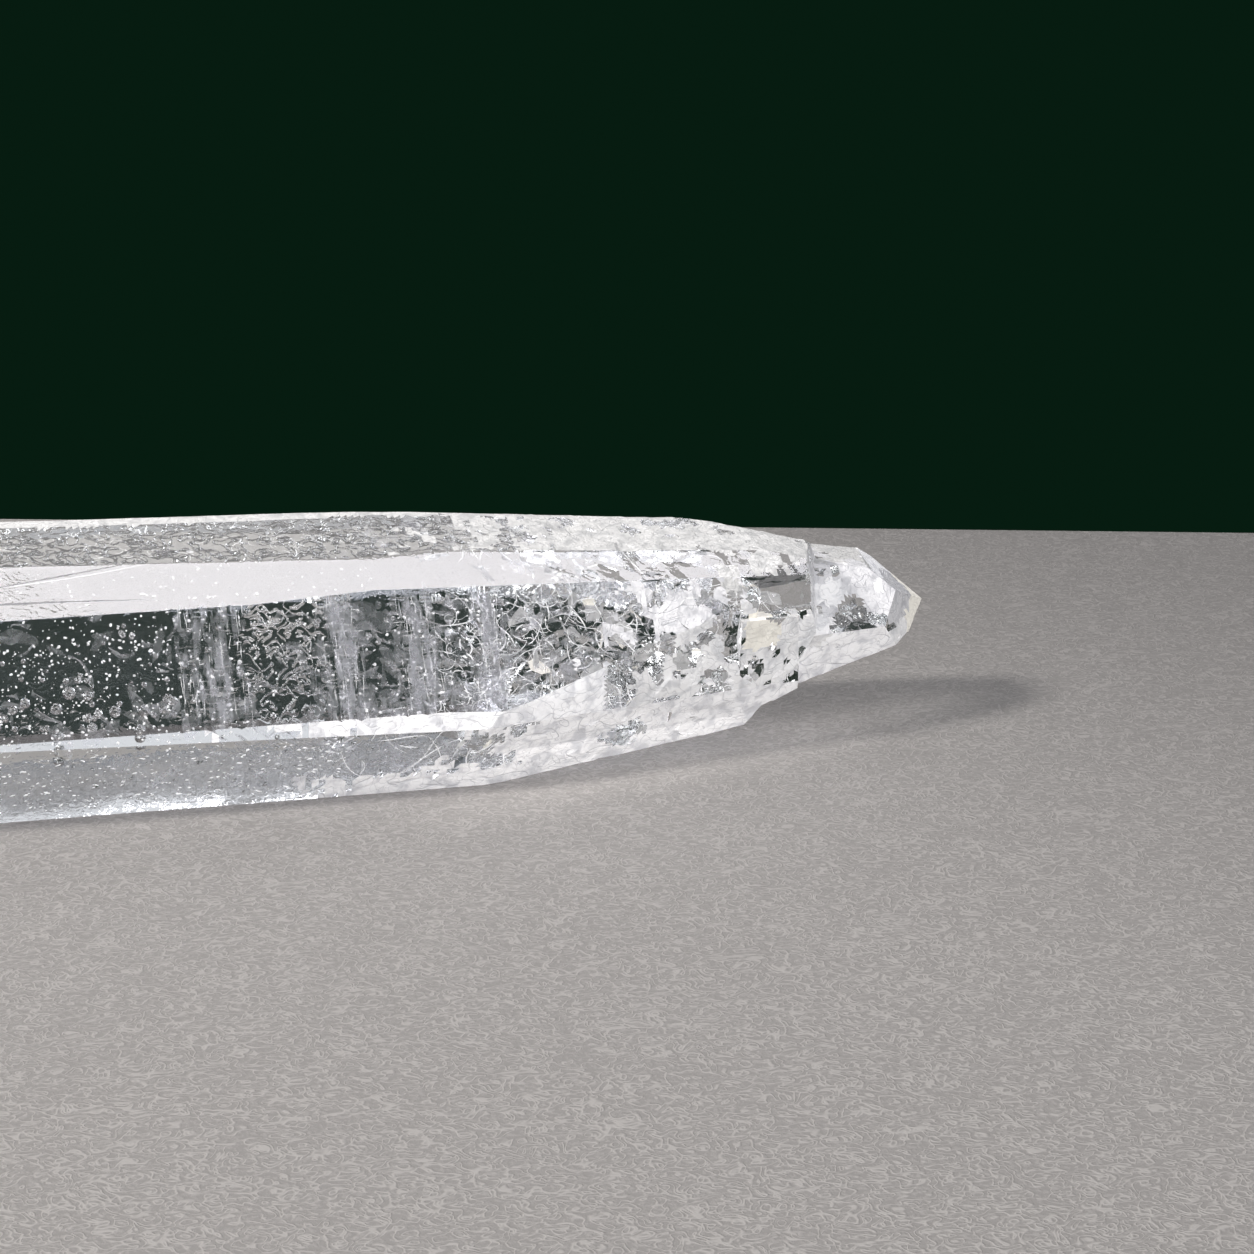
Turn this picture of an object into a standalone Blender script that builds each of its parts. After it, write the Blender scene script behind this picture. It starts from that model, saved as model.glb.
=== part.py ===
"""Lemurian quartz crystal, lying on one of its prism faces.

One natural solid: a long flattened quartz prism with narrow bevels between its faces, a stepped
and pitted taper, a smaller parallel crystal that grows out of its end, ladder-like growth
grooves and terraces on its faces, and a broken base.

Before the last step X = 0 is the middle of the length, with the tip at +X, the front at -Y and
up at +Z. The last step moves the crystal so that the origin is under the middle of its box, on
the surface that it rests on.

A face is given by its roll and its pitch, in degrees. Roll turns round the crystal's length:
0 faces the front, 90 up, 180 the back and 270 down. Pitch leans the face towards the tip: 0 is
a true prism face and 90 a square end. Sizes in the tables are in millimetres.
"""

import math
import random

import bmesh
import bpy
from mathutils import Matrix, Vector

MM = 0.001

NAME = "quartz_crystal"
BASE_X = -75.0
TIP_X = 75.0
SECTION_ROOM = 40.0  # half-size of the raw block that the faces are cut from
END_CRYSTAL_ROOT = 50.0  # X at which the end crystals start, inside the main one
SPARE_LENGTH = 5.0  # how far a raw block reaches past what is kept of it

# How closely a face's direction and place are told apart
SAME_DIRECTION = 0.9999
SAME_PLACE = 0.01

# Prism faces at X = 0: roll, pitch, and a point (y, z) that the face passes through
PRISM = {
    "lower_front": (-30, 0.7, (-16.2, 0.0)),
    "front_seam": (0, 1.9, (-20.9, 9.0)),
    "upper_front": (30, 1.8, (-14.4, 21.0)),
    "front_shoulder": (60, 1.2, (-8.8, 24.2)),
    "top": (75.6, 1.5, (-8.8, 24.2)),
    "back_shoulder": (126, 1.2, (1.3, 26.9)),
    "back": (157, 1.4, (15.8, 13.0)),
    "lower_back": (233.6, 1.0, (5.7, 0.0)),
}

# Faces of the taper: roll, pitch, and a point (x, y, z) that the face passes through
TAPER = {
    "lift": (270, 5.0, (23.0, 0.0, 0.0)),
    "lower_front_taper": (-30, 13.0, (20.0, -16.1, 0.0)),
    "seam_taper": (0, 15.0, (20.0, -20.9, 9.0)),
    "upper_front_taper": (33, 3.7, (31.7, -12.0, 20.7)),
    "shoulder_taper": (60, 3.4, (28.0, -7.8, 23.3)),
    "top_taper": (76, 3.6, (16.0, 1.0, 26.3)),
    "top_end": (77, 8.5, (52.4, -1.3, 23.4)),
    "nose_slope": (80, 34.0, (59.2, -5.0, 21.9)),
    "back_shoulder_taper": (126, 4.3, (26.5, 0.7, 25.5)),
    "back_shoulder_end": (126, 17.5, (48.8, -0.6, 23.8)),
    "back_taper": (157, 14.0, (22.0, 15.2, 13.0)),
    "lower_back_taper": (233.6, 9.0, (24.0, 5.5, 0.0)),
    "front_facet": (-11, 14.5, (41.1, -16.0, 13.4)),
    "heel": (270, 53.0, (52.3, -9.5, 3.4)),
    "back_facet": (172, 36.0, (52.5, 9.6, 12.0)),
    "end": (25, 66.0, (59.8, -6.2, 19.6)),
    "base": (205, -78.0, (-70.5, 2.0, 4.0)),
}

# The collar, a lower plate of the taper that reaches past the heel
COLLAR = {
    "front": (-11, 14.5, (41.1, -15.7, 13.4)),
    "lower_front": (-30, 13.0, (20.0, -15.9, 0.0)),
    "under": (270, 23.2, (53.2, -9.9, 4.6)),
    "top": (85, 4.0, (56.0, -8.0, 15.6)),
    "lower_back": (233.6, 9.0, (24.0, 5.2, 0.0)),
    "back": (157, 14.0, (22.0, 14.8, 13.0)),
    "end": (5, 78.0, (57.3, -10.5, 9.0)),
}

# The smaller crystal that carries the tip
TIP_POINT = (TIP_X, 0.1, 13.1)
TIP_CRYSTAL = {
    "top": (85, 8.0, (61.2, 4.0, 19.5)),
    "upper_front": (38, 6.0, (62.0, -6.0, 15.5)),
    "lower_front": (-28, 8.0, (62.0, -8.0, 11.0)),
    "under": (270, 18.0, (61.3, -5.0, 6.7)),
    "lower_back": (208, 8.0, (62.0, 8.0, 10.0)),
    "upper_back": (148, 6.0, (62.0, 7.0, 15.0)),
    "roof": (80, 35.5, TIP_POINT),
    "keel": (280, 52.0, TIP_POINT),
    "front_end": (8, 48.0, TIP_POINT),
    "back_end": (176, 46.0, TIP_POINT),
}

# The notch under the nose of the taper, where the smaller crystal comes to light
NOTCH_START = 51.0
NOTCH = {
    "roof": (84, -3.0, (55.0, -9.0, 19.0)),
    "floor": (268, 6.0, (55.0, -10.0, 15.7)),
    "inner_wall": (213, -3.7, (55.0, -8.6, 18.0)),
    "inner_end": (30, -60.0, (NOTCH_START, -9.0, 18.0)),
}

# Terraces, layers missing from a face: face, first x, last x, depth
TERRACES = (
    ("top", -60.0, -33.0, 0.35),
    ("upper_front", -66.0, -34.0, 0.28),
    ("lower_front", -58.0, -36.0, 0.25),
    ("back", -62.0, -18.0, 0.35),
    ("back", -4.0, 12.0, 0.25),
    ("lower_back", -44.0, -5.0, 0.30),
    ("back_shoulder", -62.0, -35.0, 0.30),
)
TERRACE_OVERLAP = 5.0  # how much longer a layer's cutter is than the face is wide
TERRACE_THICK = 3.0
TERRACE_LEAN = 1.5

# Ladders, runs of parallel growth grooves: face, first x, last x, mean spacing
LADDERS = (
    ("upper_front", -64.0, -30.0, 2.6),
    ("upper_front", -11.5, -3.5, 1.5),
    ("upper_front", 5.0, 9.0, 1.4),
    ("upper_front", 12.0, 15.8, 1.2),
    ("lower_front", -60.0, -35.0, 3.2),
    ("top", -62.0, -27.0, 2.9),
    ("back", -66.0, -28.0, 2.3),
    ("back", -14.0, 18.0, 3.4),
    ("lower_back", -64.0, -30.0, 3.0),
)
GROOVE_DEPTH = (0.05, 0.13)
GROOVE_HALF_WIDTH = (0.30, 0.70)
GROOVE_BAR_HEIGHT = 1.4  # half-height of a groove's bar, as a multiple of its depth
GROOVE_SHARES = (1.0, 1.0, 0.62)  # how much of the face's width a groove crosses
GROOVE_OVERLAP = 0.8  # how far a groove's bar reaches past the face

# Pits, shallow scallops etched into the faces: face, first x, last x, how many
PITS = (
    ("upper_front_taper", 26.0, 50.0, 8),
    ("front_facet", 45.0, 55.0, 4),
    ("lower_front_taper", 27.0, 48.0, 6),
    ("top_taper", 28.0, 48.0, 5),
    ("back_taper", 26.0, 48.0, 11),
    ("back_shoulder_taper", 28.0, 46.0, 5),
    ("back", -62.0, -30.0, 9),
    ("lower_back", -62.0, -32.0, 6),
)
PIT_HALF_WIDTH = (0.8, 2.4)
PIT_DEPTH = (0.08, 0.20)
PIT_TRIES = 40  # how often a place is looked for, for each pit
PIT_ROOM = 0.6  # how much of its own half-width a pit keeps to the face's rim
PIT_FINE_FROM = 1.5  # half-width from which a pit's ball has the finer facets
PIT_BALL_HEIGHT = 1.4  # half-height of a pit's ball, as a multiple of its depth

# Chips off the edges and the broken base: centre (x, y, z) and radius of the ball that fits each
BASE_SCALLOPS = (
    ((-80.5, -9.0, 14.0), 11.0),
    ((-78.5, 8.5, 8.0), 8.5),
    ((-77.0, 3.0, 27.5), 7.6),
    ((-75.5, -21.5, 2.5), 6.0),
    ((-60.0, -27.5, 7.5), 5.4),
    ((-64.0, 22.5, 5.0), 5.6),
)
EDGE_CHIPS = (
    ((33.5, -0.5, 28.0), 2.9),
    ((52.0, -13.6, 3.2), 2.2),
    ((61.8, -9.0, 7.2), 1.9),
    ((67.4, -8.2, 8.0), 1.7),
    ((69.6, -3.0, 19.9), 1.6),
    ((71.2, -6.4, 10.4), 1.3),
    ((47.0, -11.9, 23.6), 2.4),
    ((16.0, -20.6, 11.9), 1.6),
    ((-21.0, -23.1, 8.0), 1.8),
    ((43.5, 13.8, 5.6), 2.5),
    ((8.0, 18.6, 9.6), 2.2),
    ((-38.0, 14.6, 19.4), 2.4),
)

SEED = 1544


def clear_scene():
    for obj in list(bpy.data.objects):
        bpy.data.objects.remove(obj, do_unlink=True)


def clear_quartz():
    material = bpy.data.materials.new("clear_quartz")
    material.use_nodes = True
    shader = material.node_tree.nodes["Principled BSDF"]
    shader.inputs["Base Color"].default_value = (0.90, 0.92, 0.91, 1.0)
    shader.inputs["Metallic"].default_value = 0.0
    shader.inputs["Roughness"].default_value = 0.04
    shader.inputs["IOR"].default_value = 1.544
    shader.inputs["Transmission Weight"].default_value = 1.0
    return material


def face_normal(roll, pitch):
    roll, pitch = math.radians(roll), math.radians(pitch)
    across = math.cos(pitch)
    return Vector((math.sin(pitch), -across * math.cos(roll), across * math.sin(roll)))


def raw_block(x_low, x_high):
    """A closed block from x_low to x_high, wider and taller than the crystal."""
    bm = bmesh.new()
    size = Vector((x_high - x_low, 2 * SECTION_ROOM, 2 * SECTION_ROOM)) * MM
    middle = Vector(((x_low + x_high) / 2, 0, 0)) * MM
    place = Matrix.Translation(middle) @ Matrix.Diagonal(size).to_4x4()
    bmesh.ops.create_cube(bm, size=1.0, matrix=place)
    return bm


def cleave(bm, roll, pitch, point):
    """Cuts the block with one flat face and keeps what lies behind it."""
    everything = bm.verts[:] + bm.edges[:] + bm.faces[:]
    cut = bmesh.ops.bisect_plane(
        bm,
        geom=everything,
        dist=1e-7,
        plane_co=Vector(point) * MM,
        plane_no=face_normal(roll, pitch),
        clear_outer=True,
    )
    rim = [edge for edge in cut["geom_cut"] if isinstance(edge, bmesh.types.BMEdge)]
    if rim:
        bmesh.ops.contextual_create(bm, geom=rim)


def cleaved_block(x_low, x_high, faces):
    bm = raw_block(x_low, x_high)
    for roll, pitch, point in faces.values():
        cleave(bm, roll, pitch, point)
    return bm


def new_object(name, bm, collection):
    mesh = bpy.data.meshes.new(name)
    bmesh.ops.recalc_face_normals(bm, faces=bm.faces)
    bm.to_mesh(mesh)
    bm.free()
    obj = bpy.data.objects.new(name, mesh)
    collection.objects.link(obj)
    return obj


def all_faces():
    """Every face of the main crystal by name, each with a full point."""
    faces = {"rest": (270, 0.0, (0.0, 0.0, 0.0))}
    for name, (roll, pitch, (y, z)) in PRISM.items():
        faces[name] = (roll, pitch, (0.0, y, z))
    faces.update(TAPER)
    return faces


def face_ring(obj, face):
    """The corners of the named flat face of the main crystal, in order."""
    roll, pitch, point = all_faces()[face]
    normal = face_normal(roll, pitch)
    offset = normal.dot(Vector(point) * MM)
    for polygon in obj.data.polygons:
        height = polygon.center.dot(normal) - offset
        if polygon.normal.dot(normal) > SAME_DIRECTION and abs(height) < SAME_PLACE * MM:
            return [obj.data.vertices[key].co for key in polygon.vertices]
    raise ValueError(face + " is not on the crystal")


def face_frame(obj, face, x):
    """The middle of the face at x, with axes along the crystal, across it and outwards."""
    roll, pitch, _ = all_faces()[face]
    normal = face_normal(roll, pitch)
    across = normal.cross(Vector((1, 0, 0))).normalized()
    along = across.cross(normal).normalized()
    ring = face_ring(obj, face)
    crossings = []
    for a, b in zip(ring, ring[1:] + ring[:1]):
        if (a.x - x) * (b.x - x) < 0:
            crossings.append(a.lerp(b, (x - a.x) / (b.x - a.x)))
    low = min(crossings, key=across.dot)
    high = max(crossings, key=across.dot)
    frame = Matrix((along, across, normal)).transposed().to_4x4()
    frame.translation = (low + high) / 2
    return frame, (high - low).length


def terrace_depth(face, x):
    return sum(depth for name, first, last, depth in TERRACES if name == face and first < x < last)


def terrace_cutters(crystal, dice):
    """Slabs that take one growth layer off a face between two places."""
    bm = bmesh.new()
    for face, first, last, depth in TERRACES:
        frame, width = face_frame(crystal, face, (first + last) / 2 * MM)
        size = Vector((last - first, width / MM + TERRACE_OVERLAP, TERRACE_THICK)) * MM
        lift = Matrix.Translation((0, 0, (TERRACE_THICK / 2 - depth) * MM))
        lean = Matrix.Rotation(math.radians(dice.uniform(-TERRACE_LEAN, TERRACE_LEAN)), 4, "Z")
        bmesh.ops.create_cube(bm, size=1.0, matrix=frame @ lift @ lean @ Matrix.Diagonal(size).to_4x4())
    return bm


def groove_bar(half_width, depth, length):
    """A bar with a diamond section that leaves a V groove as deep and wide as asked."""
    half_height = GROOVE_BAR_HEIGHT * depth
    rise = Matrix.Translation((0, 0, half_height - depth))
    corner = math.sqrt(2)
    size = Vector((corner * GROOVE_BAR_HEIGHT * half_width, length, corner * half_height))
    return rise @ Matrix.Diagonal(size).to_4x4() @ Matrix.Rotation(math.radians(45), 4, "Y")


def ladder_cutters(crystal, dice):
    """The bars of every ladder, some across the whole face and some part of the way."""
    bm = bmesh.new()
    for face, first, last, spacing in LADDERS:
        x = first
        while x < last:
            frame, width = face_frame(crystal, face, x * MM)
            depth = dice.uniform(*GROOVE_DEPTH)
            half_width = dice.uniform(*GROOVE_HALF_WIDTH)
            share = dice.choice(GROOVE_SHARES)
            shift = dice.choice((-0.5, 0.5)) * (1.0 - share) * width
            sink = -terrace_depth(face, x) * MM
            length = share * width + 2 * GROOVE_OVERLAP * MM
            bar = groove_bar(half_width * MM, depth * MM, length)
            bmesh.ops.create_cube(bm, size=1.0, matrix=frame @ Matrix.Translation((0, shift, sink)) @ bar)
            x += spacing * dice.uniform(0.7, 1.3) + 2 * GROOVE_BAR_HEIGHT * half_width
    return bm


def pit_cutters(crystal, dice):
    """Flattened balls sunk a little into the faces, none of them touching another."""
    bm = bmesh.new()
    taken = []
    for face, first, last, count in PITS:
        made = 0
        tries = 0
        while made < count and tries < PIT_TRIES * count:
            tries += 1
            x = dice.uniform(first, last)
            half_width = dice.uniform(*PIT_HALF_WIDTH) * MM
            depth = dice.uniform(*PIT_DEPTH) * MM
            frame, width = face_frame(crystal, face, x * MM)
            room = width / 2 - PIT_ROOM * half_width
            if room <= 0:
                continue
            half_height = PIT_BALL_HEIGHT * depth
            sink = half_height - depth - terrace_depth(face, x) * MM
            place = frame @ Matrix.Translation((0, dice.uniform(-room, room), sink))
            centre = place.translation
            if any((centre - other).length < half_width + reach for other, reach in taken):
                continue
            turn = Matrix.Rotation(dice.uniform(0, math.pi), 4, "Z")
            size = Vector((half_width, half_width * dice.uniform(0.6, 0.95), half_height))
            ball = place @ turn @ Matrix.Diagonal(size).to_4x4()
            facets = 2 if half_width > PIT_FINE_FROM * MM else 1
            bmesh.ops.create_icosphere(bm, subdivisions=facets, radius=1.0, matrix=ball)
            taken.append((centre, half_width))
            made += 1
    return bm


def ball_cutters(balls, subdivisions, dice):
    """Balls with a random turn, for shell-like chips."""
    bm = bmesh.new()
    for centre, radius in balls:
        turn = Matrix.Rotation(dice.uniform(0, math.pi), 4, (dice.random(), dice.random(), 1.0))
        place = Matrix.Translation(Vector(centre) * MM) @ turn
        bmesh.ops.create_icosphere(bm, subdivisions=subdivisions, radius=radius * MM, matrix=place)
    return bm


def combine(crystal, other, operation):
    other.hide_render = True
    other.display_type = "WIRE"
    other.parent = crystal.parent
    modifier = crystal.modifiers.new(other.name, "BOOLEAN")
    modifier.operation = operation
    modifier.solver = "EXACT"
    modifier.use_self = True
    modifier.object = other


def middle_of_base(crystal):
    """The middle of the bottom of the finished crystal's box."""
    evaluated = crystal.evaluated_get(bpy.context.evaluated_depsgraph_get())
    corners = [Vector(corner) for corner in evaluated.bound_box]
    low = [min(corner[axis] for corner in corners) for axis in range(3)]
    high = [max(corner[axis] for corner in corners) for axis in range(3)]
    return Vector(((low[0] + high[0]) / 2, (low[1] + high[1]) / 2, low[2]))


def build():
    clear_scene()
    dice = random.Random(SEED)
    parts = bpy.data.collections.new("lemurian_quartz_crystal")
    cutters = bpy.data.collections.new("cutters")
    for collection in (parts, cutters):
        bpy.context.scene.collection.children.link(collection)
    frame = bpy.data.objects.new("crystal_frame", None)
    parts.objects.link(frame)

    crystal = new_object(NAME, cleaved_block(BASE_X, TIP_X, all_faces()), parts)
    crystal.parent = frame
    crystal.data.materials.append(clear_quartz())

    terraces = new_object("terraces", terrace_cutters(crystal, dice), cutters)
    ladders = new_object("ladders", ladder_cutters(crystal, dice), cutters)
    pits = new_object("pits", pit_cutters(crystal, dice), cutters)
    notch = new_object("notch", cleaved_block(NOTCH_START - SPARE_LENGTH, TIP_X, NOTCH), cutters)
    far_end = TIP_X + SPARE_LENGTH
    collar = new_object("collar", cleaved_block(END_CRYSTAL_ROOT, far_end, COLLAR), cutters)
    tip = new_object("tip_crystal", cleaved_block(END_CRYSTAL_ROOT, far_end, TIP_CRYSTAL), cutters)
    scallops = new_object("base_scallops", ball_cutters(BASE_SCALLOPS, 3, dice), cutters)
    chips = new_object("edge_chips", ball_cutters(EDGE_CHIPS, 2, dice), cutters)

    combine(crystal, terraces, "DIFFERENCE")
    combine(crystal, ladders, "DIFFERENCE")
    combine(crystal, pits, "DIFFERENCE")
    combine(crystal, notch, "DIFFERENCE")
    combine(crystal, collar, "UNION")
    combine(crystal, tip, "UNION")
    combine(crystal, scallops, "DIFFERENCE")
    combine(crystal, chips, "DIFFERENCE")

    frame.location = -middle_of_base(crystal)
    bpy.context.view_layer.update()


build()
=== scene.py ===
"""Looks of the lemurian quartz crystal.

One piece stands for the CAD solid: its own flat faces with fine relief, and the bubbles, flecks,
threads, veils and cracks inside it. Then come the stage, the room, the lights and the camera.
Sizes and places are written in millimetres in the row frame, and MM turns them into metres.
"""
import math
import random

import bmesh
import bpy
import numpy as np
from mathutils import Matrix, Vector, noise
from mathutils.bvhtree import BVHTree


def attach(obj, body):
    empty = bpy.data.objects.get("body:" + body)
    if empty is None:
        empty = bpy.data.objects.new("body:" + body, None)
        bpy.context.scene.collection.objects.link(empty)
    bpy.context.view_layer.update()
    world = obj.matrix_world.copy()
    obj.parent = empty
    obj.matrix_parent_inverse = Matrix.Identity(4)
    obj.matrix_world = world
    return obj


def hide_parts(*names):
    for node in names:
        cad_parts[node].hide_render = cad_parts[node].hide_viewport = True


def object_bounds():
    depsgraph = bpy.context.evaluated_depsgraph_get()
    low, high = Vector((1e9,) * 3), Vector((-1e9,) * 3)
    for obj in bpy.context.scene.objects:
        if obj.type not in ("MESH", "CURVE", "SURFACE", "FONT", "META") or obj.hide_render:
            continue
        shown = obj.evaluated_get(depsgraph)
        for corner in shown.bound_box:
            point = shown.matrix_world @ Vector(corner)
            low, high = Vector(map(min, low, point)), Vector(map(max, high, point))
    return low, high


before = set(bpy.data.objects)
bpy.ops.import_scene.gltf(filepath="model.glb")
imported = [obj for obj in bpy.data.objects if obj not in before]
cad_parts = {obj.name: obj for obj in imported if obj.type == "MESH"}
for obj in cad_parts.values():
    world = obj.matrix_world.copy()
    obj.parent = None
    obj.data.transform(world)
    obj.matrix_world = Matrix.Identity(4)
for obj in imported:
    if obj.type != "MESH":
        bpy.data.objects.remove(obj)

cad_low, cad_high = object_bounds()

MM = 0.001
SEED = 1544
noise.seed_set(SEED)  # noise_vector would else differ from run to run

QUARTZ_IOR = 1.544
QUARTZ_TINT = (0.93, 0.975, 1.0, 1.0)
QUARTZ_ABSORPTION = 10.0  # a metre
VEIL_COLOR = (0.93, 0.93, 0.95, 1.0)
VEIL_TRANSMISSION = 0.965
VEIL_IOR = 1.03

# Opaque kinds of quartz: name, colour, shade in its clouds, roughness, size of its grain, IOR
MILKY_QUARTZ = ("milky_quartz", (0.57, 0.565, 0.58, 1.0), (0.39, 0.39, 0.41, 1.0), 0.30, 1.6, QUARTZ_IOR)
PALE_QUARTZ = ("pale_quartz", (1.0, 0.99, 1.0, 1.0), (0.66, 0.66, 0.69, 1.0), 0.30, 1.8, QUARTZ_IOR)
CREAM_QUARTZ = ("cream_quartz", (0.86, 0.825, 0.75, 1.0), (0.70, 0.67, 0.61, 1.0), 0.40, 1.6, QUARTZ_IOR)
# Dimmed pale quartz is painted shade: a grey copy of the pale quartz that the top and the shoulder get, so
# that these most lit faces come out no brighter than the front.
DIMMED_PALE_QUARTZ = ("dimmed_pale_quartz", (0.46, 0.455, 0.45, 1.0), (0.32,) * 3 + (1.0,), 0.35, 1.2, QUARTZ_IOR)
# Soft quartz is a lighter copy of the milky quartz: painted light for faces that look lower and get less
# light.
SOFT_QUARTZ = ("soft_quartz", (0.80, 0.79, 0.79, 1.0), (0.56, 0.56, 0.575, 1.0), 0.30, 1.8, QUARTZ_IOR)
BRIGHT_FLECKS = ("bright_flecks", (0.94, 0.935, 0.94, 1.0), (0.80,) * 3 + (1.0,), 0.25, 1.5, QUARTZ_IOR)
# Dark lines are painted shade: dark slivers in place of thin cracks that look dark because they mirror the
# dark wall.
DARK_LINES = ("dark_lines", (0.27, 0.265, 0.27, 1.0), (0.19, 0.19, 0.205, 1.0), 0.70, 1.5, 1.0)

BOARD_LIGHT = (0.232, 0.221, 0.212, 1.0)
BOARD_DARK = (0.158, 0.150, 0.144, 1.0)
BOARD_WRINKLE = 1.9  # size of the leathery grain's winding wrinkles
BOARD_PEBBLE = 0.6  # size of its pebbles
BOARD_FAR_END_SHADE = 0.66  # how bright its far right end is: painted shade for light that falls off towards it
BOARD_ROUGHNESS = 0.6

TAPER_FROM = 18.0  # x at which the crystal starts to taper
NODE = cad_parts["quartz_crystal"]


def smooth(low, high, value):
    """0 at low, 1 at high and a soft step between. low may be the larger one."""
    share = min(1.0, max(0.0, (value - low) / (high - low)))
    return share * share * (3 - 2 * share)


# ---------------------------------------------------------------- node helpers

class Graph:
    """A short way to build a material's nodes."""

    def __init__(self, tree):
        self.tree = tree

    def node(self, kind, **settings):
        made = self.tree.nodes.new(kind)
        for name, value in settings.items():
            setattr(made, name, value)
        return made

    def link(self, output, socket):
        self.tree.links.new(output, socket)

    def put(self, value, socket):
        if isinstance(value, bpy.types.NodeSocket):
            self.link(value, socket)
        else:
            socket.default_value = value

    def math(self, operation, first, second=0.0, third=None, clamp=False):
        made = self.node("ShaderNodeMath", operation=operation, use_clamp=clamp)
        self.put(first, made.inputs[0])
        self.put(second, made.inputs[1])
        if third is not None:
            self.put(third, made.inputs[2])
        return made.outputs[0]

    def step(self, value, low, high, to_low=0.0, to_high=1.0):
        made = self.node("ShaderNodeMapRange", interpolation_type="SMOOTHSTEP")
        self.put(value, made.inputs["Value"])
        ends = {"From Min": low, "From Max": high, "To Min": to_low, "To Max": to_high}
        for name, number in ends.items():
            self.put(number, made.inputs[name])
        return made.outputs["Result"]

    def lines(self, field, width, depth):
        """1, but depth along the thin lines where a noise crosses its middle value."""
        away = self.math("ABSOLUTE", self.math("SUBTRACT", field, 0.5))
        return self.step(away, 0.0, width, depth, 1.0)

    def mix(self, share, first, second, **settings):
        """first where share is 0 and second where it is 1."""
        made = self.node("ShaderNodeMix", data_type="RGBA", **settings)
        for name, value in {"Factor": share, "A": first, "B": second}.items():
            self.put(value, made.inputs[name])
        return made.outputs["Result"]

    def parts(self, vector):
        made = self.node("ShaderNodeSeparateXYZ")
        self.link(vector, made.inputs[0])
        return made.outputs

    def attribute(self, name):
        return self.node("ShaderNodeAttribute", attribute_name=name).outputs["Fac"]

    def place(self, scale, stretch=(1, 1, 1)):
        """Object coordinates in units of scale millimetres."""
        coordinates = self.node("ShaderNodeTexCoord")
        mapping = self.node("ShaderNodeMapping")
        mapping.inputs["Scale"].default_value = [axis / (scale * MM) for axis in stretch]
        self.link(coordinates.outputs["Object"], mapping.inputs["Vector"])
        return mapping.outputs["Vector"]

    def noise(self, vector, detail=2.0, roughness=0.5, distortion=0.0):
        made = self.node("ShaderNodeTexNoise")
        made.inputs["Scale"].default_value = 1.0
        made.inputs["Detail"].default_value = detail
        made.inputs["Roughness"].default_value = roughness
        made.inputs["Distortion"].default_value = distortion
        self.link(vector, made.inputs["Vector"])
        return made.outputs["Fac"]

    def bump(self, height, strength, distance, normal=None):
        made = self.node("ShaderNodeBump")
        self.put(height, made.inputs["Height"])
        self.put(strength, made.inputs["Strength"])
        made.inputs["Distance"].default_value = distance * MM
        if normal is not None:
            self.link(normal, made.inputs["Normal"])
        return made.outputs["Normal"]


def new_material(name):
    material = bpy.data.materials.new(name)
    material.use_nodes = True
    shader = material.node_tree.nodes["Principled BSDF"]
    return material, shader, Graph(material.node_tree)


# ---------------------------------------------------------------- materials

# Sizes of the marks in the clear quartz
WORM_SIZE = 1.9  # winding etched lines
WEAVE_SIZE = 0.45  # growth steps that cross each other
WEAVE_STRETCH = 0.22  # how much finer they are across than along
SWIRL_SIZE = 4.2  # the broad swirls of fracture facets
FROST_SIZE = 2.6  # clouds of frost


def glass_material():
    """Clear quartz: see-through, with growth relief where the faces' zone values ask for it."""
    material, shader, graph = new_material("clear_quartz_fine")
    shader.inputs["Base Color"].default_value = (1.0, 1.0, 1.0, 1.0)
    shader.inputs["IOR"].default_value = QUARTZ_IOR
    shader.inputs["Transmission Weight"].default_value = 1.0

    worms = graph.lines(graph.noise(graph.place(WORM_SIZE), detail=0.0, distortion=1.7), 0.10, 0.0)
    normal = graph.bump(worms, graph.attribute("ripple"), 0.45)
    across = graph.place(WEAVE_SIZE, (1.0, WEAVE_STRETCH, WEAVE_STRETCH))
    along = graph.place(WEAVE_SIZE, (WEAVE_STRETCH, 1.0, 1.0))
    weave = graph.math("MAXIMUM", graph.noise(across, detail=1.0), graph.noise(along, detail=1.0))
    normal = graph.bump(weave, graph.attribute("weave"), 0.22, normal)
    swirl = graph.noise(graph.place(SWIRL_SIZE), detail=1.0, distortion=1.4)
    normal = graph.bump(swirl, graph.attribute("chip"), 0.8, normal)
    graph.link(normal, shader.inputs["Normal"])

    cloud = graph.noise(graph.place(FROST_SIZE), detail=3.0)
    rough = graph.math("MULTIPLY", graph.attribute("frost"), graph.step(cloud, 0.35, 0.62, 0.1, 1.0))
    graph.link(rough, shader.inputs["Roughness"])

    absorption = graph.node("ShaderNodeVolumeAbsorption")
    absorption.inputs["Color"].default_value = QUARTZ_TINT
    absorption.inputs["Density"].default_value = QUARTZ_ABSORPTION
    output = graph.tree.nodes["Material Output"]
    graph.link(absorption.outputs[0], output.inputs["Volume"])
    return material


def pale_material(name, colour, shade, roughness, grain, ior):
    """Quartz that scatters light, with darker clouds and thin winding strokes."""
    material, shader, graph = new_material(name)
    cloud = graph.noise(graph.place(grain), detail=3.0, distortion=0.6)
    short = graph.noise(graph.place(1.2 * grain), detail=0.0, distortion=2.2)
    long = graph.noise(graph.place(2.3 * grain, (0.6, 1.0, 1.3)), detail=1.0, distortion=1.2)
    stroke = graph.math("MULTIPLY", graph.lines(short, 0.03, 0.3), graph.lines(long, 0.012, 0.0))
    share = graph.math("MULTIPLY", graph.step(cloud, 0.32, 0.58), stroke)
    graph.link(graph.mix(share, shade, colour), shader.inputs["Base Color"])
    shader.inputs["IOR"].default_value = ior
    rough = graph.step(cloud, 0.3, 0.7, 1.35 * roughness, 0.65 * roughness)
    graph.link(rough, shader.inputs["Roughness"])
    pits = graph.noise(graph.place(grain / 2), detail=2.0, distortion=1.2)
    height = graph.math("ADD", pits, graph.math("MULTIPLY", stroke, 0.5))
    graph.link(graph.bump(height, 0.5, 0.25), shader.inputs["Normal"])
    return material


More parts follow.
